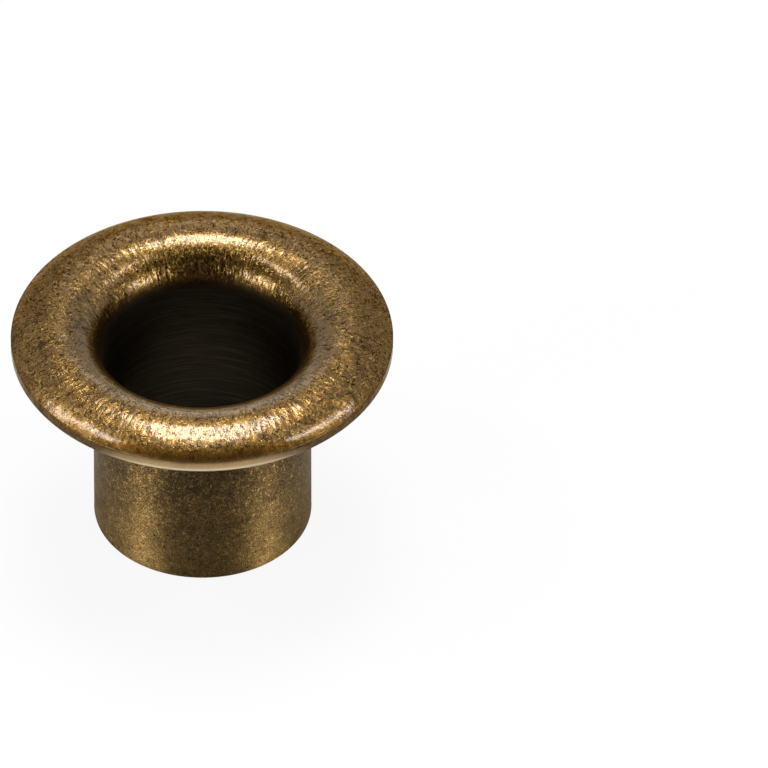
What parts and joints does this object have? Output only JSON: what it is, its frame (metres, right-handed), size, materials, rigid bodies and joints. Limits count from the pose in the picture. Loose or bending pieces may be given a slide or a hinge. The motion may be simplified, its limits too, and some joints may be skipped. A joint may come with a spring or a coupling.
{
  "type": "eyelet",
  "caption": "Flanged eyelet: a thin straight barrel that opens through a rolled throat into a thick domed flange, in one piece.",
  "frame": {"origin": "on the axis, at the free end of the barrel", "axes": "+Z along the axis, from the barrel's free end to the flange"},
  "size_m": [0.0175, 0.0174, 0.0112],
  "materials": {
    "antique_brass": "tumbled brass with a dark brown patina, relieved on the raised places"
  },
  "bodies": {
    "root": {"eyelet": "antique_brass"}
  },
  "joints": []
}
